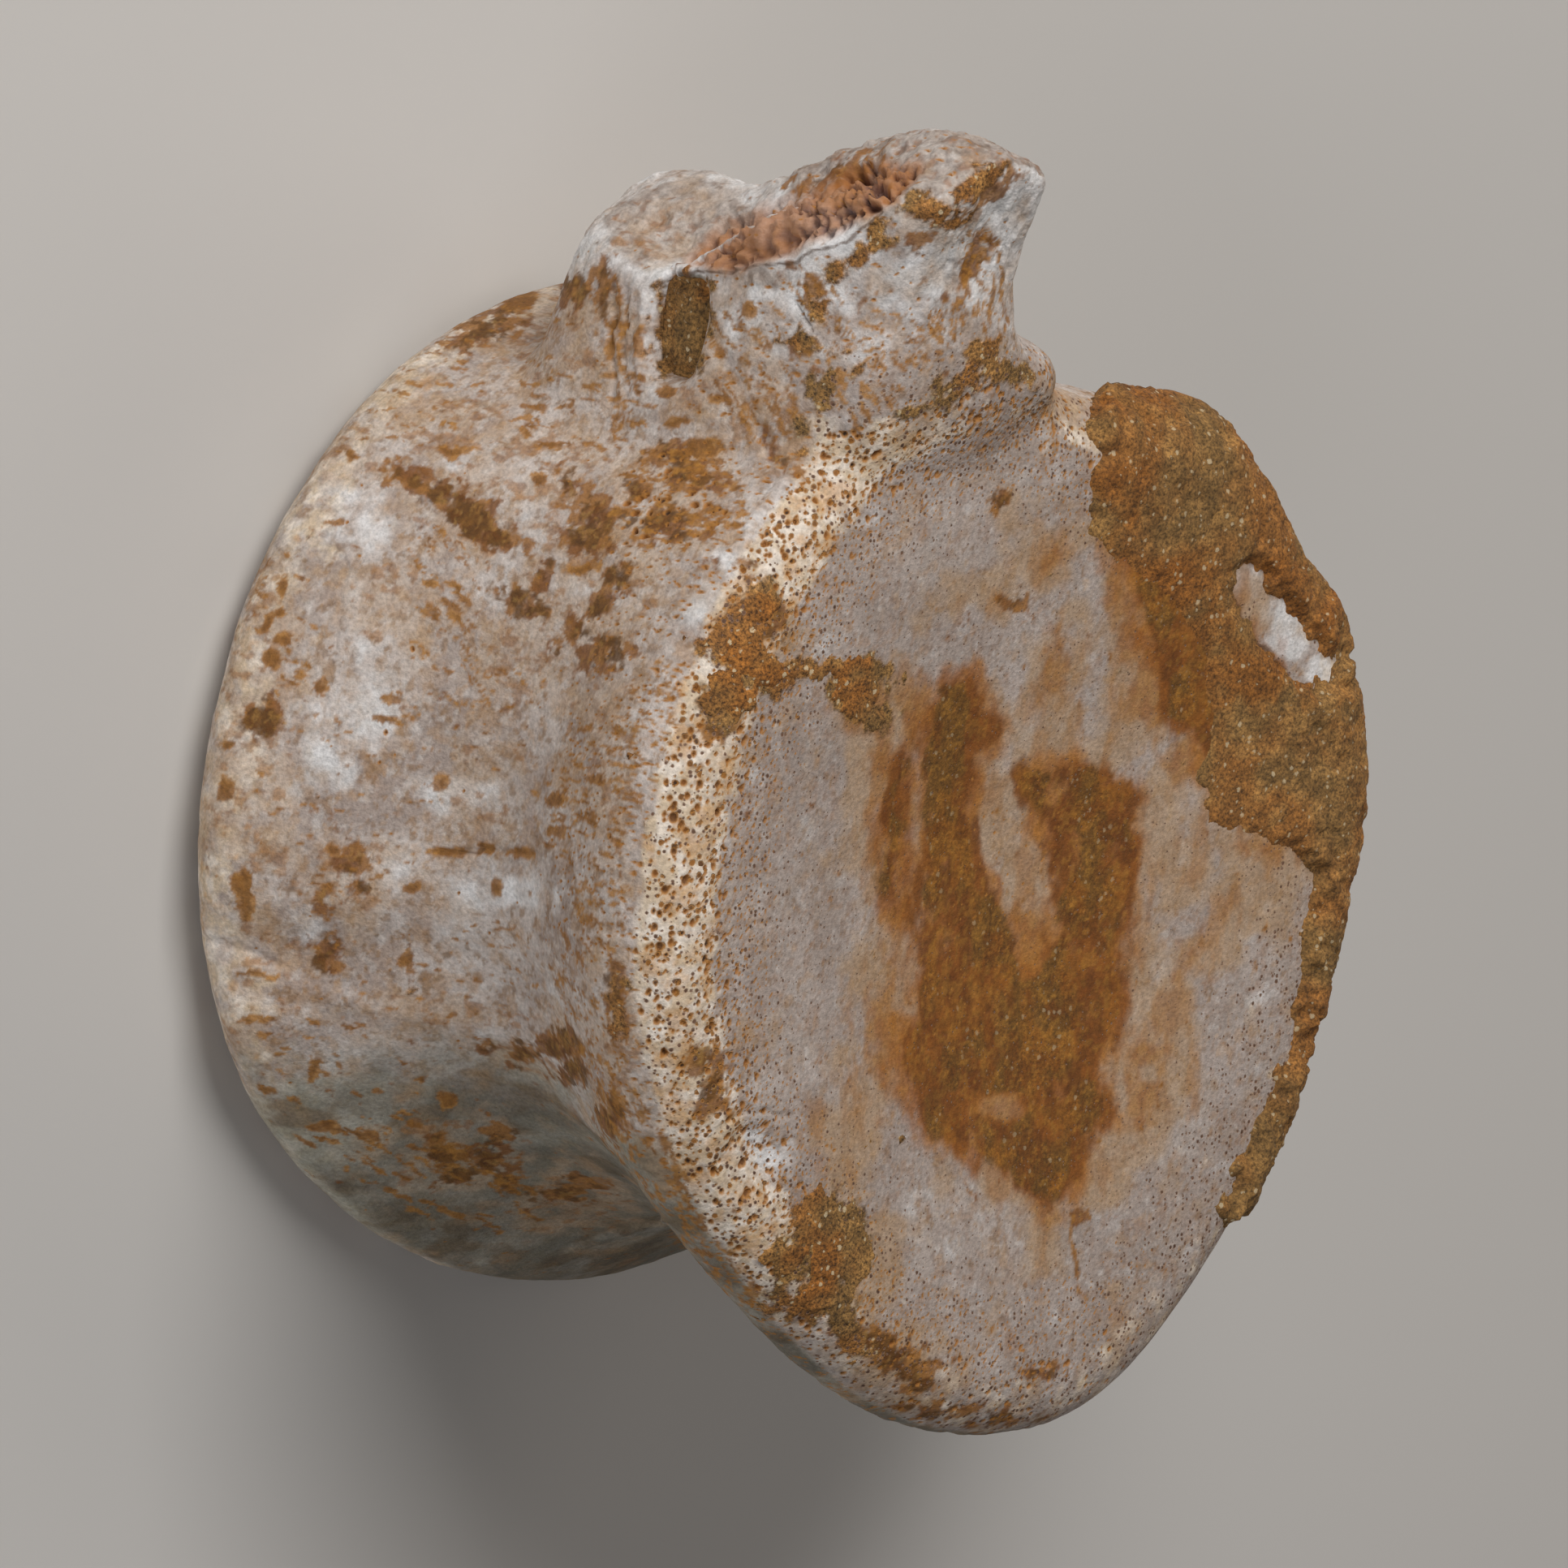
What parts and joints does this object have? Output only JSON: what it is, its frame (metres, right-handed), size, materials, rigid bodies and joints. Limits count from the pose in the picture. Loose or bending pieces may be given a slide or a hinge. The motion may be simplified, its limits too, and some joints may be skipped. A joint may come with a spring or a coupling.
{
  "type": "fossil plesiosaur vertebra",
  "caption": "Waisted drum-shaped fossil backbone with shallow joint faces, broken arch roots and thin crusts of rock, lying on its rear face.",
  "frame": {"origin": "centre of the bounding box in X and Y, at the level that the bone rests on", "axes": "+Z from the rear joint face up to the front one, +Y towards the animal's back, -X the animal's right side"},
  "size_m": [0.0848, 0.0992, 0.052],
  "materials": {
    "fossil_bone": "matt, pale grey bone with rust stains and fine pores",
    "sandy_matrix": "rough, cemented ochre sand"
  },
  "bodies": {
    "root": {"vertebra": "fossil_bone", "crust_upper": "sandy_matrix", "crust_near_rim": "sandy_matrix", "crust_lower": "sandy_matrix", "crust_pit": "sandy_matrix"}
  },
  "joints": []
}
